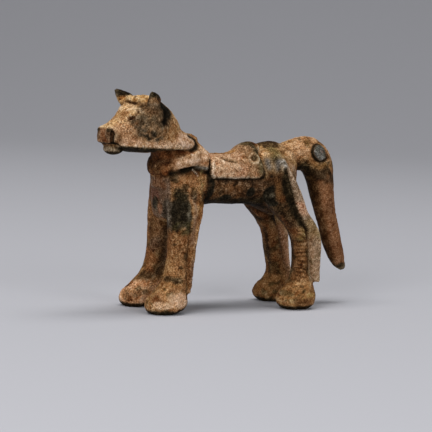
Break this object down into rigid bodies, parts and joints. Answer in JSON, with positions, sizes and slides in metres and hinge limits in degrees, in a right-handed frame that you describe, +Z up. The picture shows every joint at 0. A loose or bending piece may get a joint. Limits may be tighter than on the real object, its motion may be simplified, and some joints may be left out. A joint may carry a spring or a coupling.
{
  "type": "bronze horse statuette",
  "caption": "Small solid-cast corroded bronze horse standing on its hooves, with bridle rein, breast collar, saddle cloth and a thick hanging tail.",
  "frame": {"origin": "on the floor plane, at the middle of the horse's outline seen from above", "axes": "+Z up, -X the way the horse's body faces, -Y the horse's left side, to which the head turns"},
  "size_m": [0.1028, 0.03, 0.0749],
  "materials": {
    "corroded_bronze": "dull brown corroded casting skin with earthy ochre crust and black-green patina in the hollows"
  },
  "bodies": {
    "root": {"horse": "corroded_bronze"}
  },
  "joints": []
}
